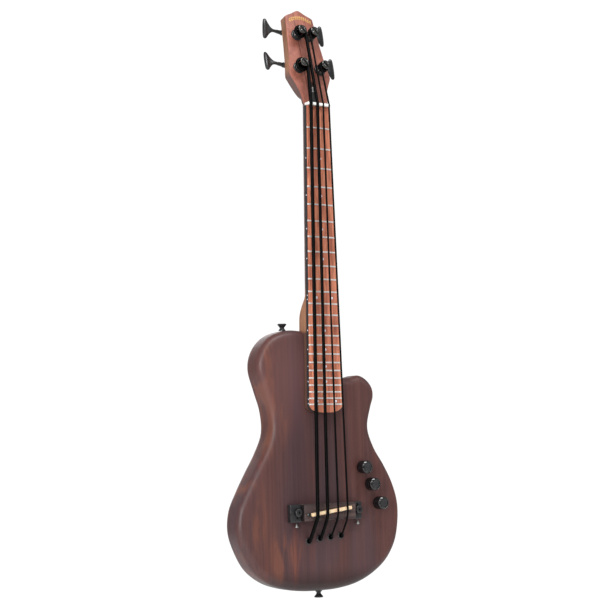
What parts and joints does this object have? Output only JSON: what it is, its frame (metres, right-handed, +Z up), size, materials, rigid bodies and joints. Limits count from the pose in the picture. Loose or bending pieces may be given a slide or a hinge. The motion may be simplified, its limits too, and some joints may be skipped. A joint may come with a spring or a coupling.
{
  "type": "electric micro bass",
  "caption": "Short-scale solid-body electric bass with a bolted neck, geared tuners, strings through the body, a sliding bridge and turning controls.",
  "frame": {"origin": "centre of the end strap button's outer face", "axes": "+Z up the neck along the centre line, +X towards the treble side, -Y out of the front (strings) face, +Y out of the back; y = 0 is the middle of the body's thickness"},
  "size_m": [0.2825, 0.0803, 0.8726],
  "materials": {
    "stained_mahogany": "satin, stained dark red-brown",
    "neck_mahogany": "satin",
    "rosewood_board": "oiled",
    "bridge_rosewood": "satin",
    "bone": "polished",
    "black_metal": "black plated, satin",
    "steel": "satin",
    "black_plastic": "satin",
    "string_rubber": "matt",
    "piezo_film": "satin",
    "circuit_board": "satin",
    "battery_skin": "satin"
  },
  "bodies": {
    "instrument": {"body": "stained_mahogany", "neck": "neck_mahogany", "fingerboard": "rosewood_board", "frets": "steel", "nut": "bone", "truss_rod": "steel", "tuner_bushing_e": "black_metal", "tuner_housing_e": "black_metal", "string_e": "string_rubber", "string_ferrule_e": "black_metal", "tuner_bushing_a": "black_metal", "tuner_housing_a": "black_metal", "string_a": "string_rubber", "string_ferrule_a": "black_metal", "tuner_bushing_d": "black_metal", "tuner_housing_d": "black_metal", "string_d": "string_rubber", "string_ferrule_d": "black_metal", "tuner_bushing_g": "black_metal", "tuner_housing_g": "black_metal", "string_g": "string_rubber", "string_ferrule_g": "black_metal", "bridge_bracket_left": "black_metal", "bridge_bracket_right": "black_metal", "volume_pot": "steel", "bass_pot": "steel", "treble_pot": "steel", "control_cover": "black_plastic", "preamp_board": "circuit_board", "battery": "battery_skin", "upper_strap_button": "black_metal", "upper_strap_button_screw": "black_metal", "end_strap_button": "black_metal", "end_strap_button_screw": "black_metal", "output_jack": "black_metal", "neck_plate": "black_metal", "neck_screw_1": "steel", "neck_screw_2": "steel", "neck_screw_3": "steel", "neck_screw_4": "steel"},
    "key_e": {"tuner_key_e": "black_metal"},
    "post_e": {"tuner_post_e": "black_metal"},
    "key_a": {"tuner_key_a": "black_metal"},
    "post_a": {"tuner_post_a": "black_metal"},
    "key_d": {"tuner_key_d": "black_metal"},
    "post_d": {"tuner_post_d": "black_metal"},
    "key_g": {"tuner_key_g": "black_metal"},
    "post_g": {"tuner_post_g": "black_metal"},
    "volume_control": {"volume_knob": "black_plastic"},
    "bass_control": {"bass_knob": "black_plastic"},
    "treble_control": {"treble_knob": "black_plastic"},
    "bridge": {"bridge_base": "bridge_rosewood", "saddle": "bone", "piezo_pickup": "piezo_film"},
    "clamp_left": {"bridge_clamp_screw_left": "black_metal"},
    "intonation_left": {"intonation_screw_left": "steel"},
    "clamp_right": {"bridge_clamp_screw_right": "black_metal"},
    "intonation_right": {"intonation_screw_right": "steel"},
    "rod_nut": {"truss_rod_nut": "black_metal"}
  },
  "joints": [
    {"name": "key_e_turn", "type": "hinge", "parent": "instrument", "child": "key_e", "pos_m": [-0.01714, 0.01289, 0.78423], "axis": [-0.9938, 0.0307, 0.1072], "continuous": true},
    {"name": "post_e_turn", "type": "hinge", "parent": "instrument", "child": "post_e", "pos_m": [-0.0187, -0.01151, 0.77675], "axis": [0, -0.9613, 0.2756], "continuous": true},
    {"name": "key_a_turn", "type": "hinge", "parent": "instrument", "child": "key_a", "pos_m": [-0.00944, 0.02833, 0.83806], "axis": [-0.9938, 0.0307, 0.1072], "continuous": true},
    {"name": "post_a_turn", "type": "hinge", "parent": "instrument", "child": "post_a", "pos_m": [-0.011, 0.00392, 0.83058], "axis": [0, -0.9613, 0.2756], "continuous": true},
    {"name": "key_d_turn", "type": "hinge", "parent": "instrument", "child": "key_d", "pos_m": [0.00944, 0.02833, 0.83806], "axis": [0.9938, 0.0307, 0.1072], "continuous": true},
    {"name": "post_d_turn", "type": "hinge", "parent": "instrument", "child": "post_d", "pos_m": [0.011, 0.00392, 0.83058], "axis": [0, -0.9613, 0.2756], "continuous": true},
    {"name": "key_g_turn", "type": "hinge", "parent": "instrument", "child": "key_g", "pos_m": [0.01714, 0.01289, 0.78423], "axis": [0.9938, 0.0307, 0.1072], "continuous": true},
    {"name": "post_g_turn", "type": "hinge", "parent": "instrument", "child": "post_g", "pos_m": [0.0187, -0.01151, 0.77675], "axis": [0, -0.9613, 0.2756], "continuous": true},
    {"name": "volume_turn", "type": "hinge", "parent": "instrument", "child": "volume_control", "pos_m": [0.0679, -0.021, 0.1856], "axis": [0, 1, 0], "range_deg": [-105, 195]},
    {"name": "bass_turn", "type": "hinge", "parent": "instrument", "child": "bass_control", "pos_m": [0.0814, -0.021, 0.1604], "axis": [0, 1, 0], "range_deg": [-105, 195]},
    {"name": "treble_turn", "type": "hinge", "parent": "instrument", "child": "treble_control", "pos_m": [0.0951, -0.021, 0.1323], "axis": [0, 1, 0], "range_deg": [-105, 195]},
    {"name": "bridge_slide", "type": "slide", "parent": "instrument", "child": "bridge", "axis": [0, 0, 1], "range_m": [-0.001, 0.002]},
    {"name": "clamp_left_turn", "type": "hinge", "parent": "instrument", "child": "clamp_left", "pos_m": [-0.0508, -0.021, 0.1246], "axis": [0, -1, 0], "range_deg": [0, 360]},
    {"name": "intonation_left_turn", "type": "hinge", "parent": "instrument", "child": "intonation_left", "pos_m": [-0.0506, -0.0248, 0.112], "axis": [0, 0, 1], "range_deg": [-460, 910]},
    {"name": "clamp_right_turn", "type": "hinge", "parent": "instrument", "child": "clamp_right", "pos_m": [0.0534, -0.021, 0.1246], "axis": [0, -1, 0], "range_deg": [0, 360]},
    {"name": "intonation_right_turn", "type": "hinge", "parent": "instrument", "child": "intonation_right", "pos_m": [0.0554, -0.0248, 0.112], "axis": [0, 0, 1], "range_deg": [-460, 910]},
    {"name": "truss_rod_turn", "type": "hinge", "parent": "instrument", "child": "rod_nut", "pos_m": [0, -0.0227, 0.72], "axis": [0, 0.1219, 0.9925], "range_deg": [-180, 180]}
  ],
  "couplings": [
    {"joint": "post_e_turn", "follows": "key_e_turn", "ratio": 0.05},
    {"joint": "post_a_turn", "follows": "key_a_turn", "ratio": 0.05},
    {"joint": "post_d_turn", "follows": "key_d_turn", "ratio": 0.05},
    {"joint": "post_g_turn", "follows": "key_g_turn", "ratio": 0.05},
    {"joint": "intonation_left_turn", "follows": "bridge_slide", "rad_per_m": 7854},
    {"joint": "intonation_right_turn", "follows": "bridge_slide", "rad_per_m": 7854}
  ]
}
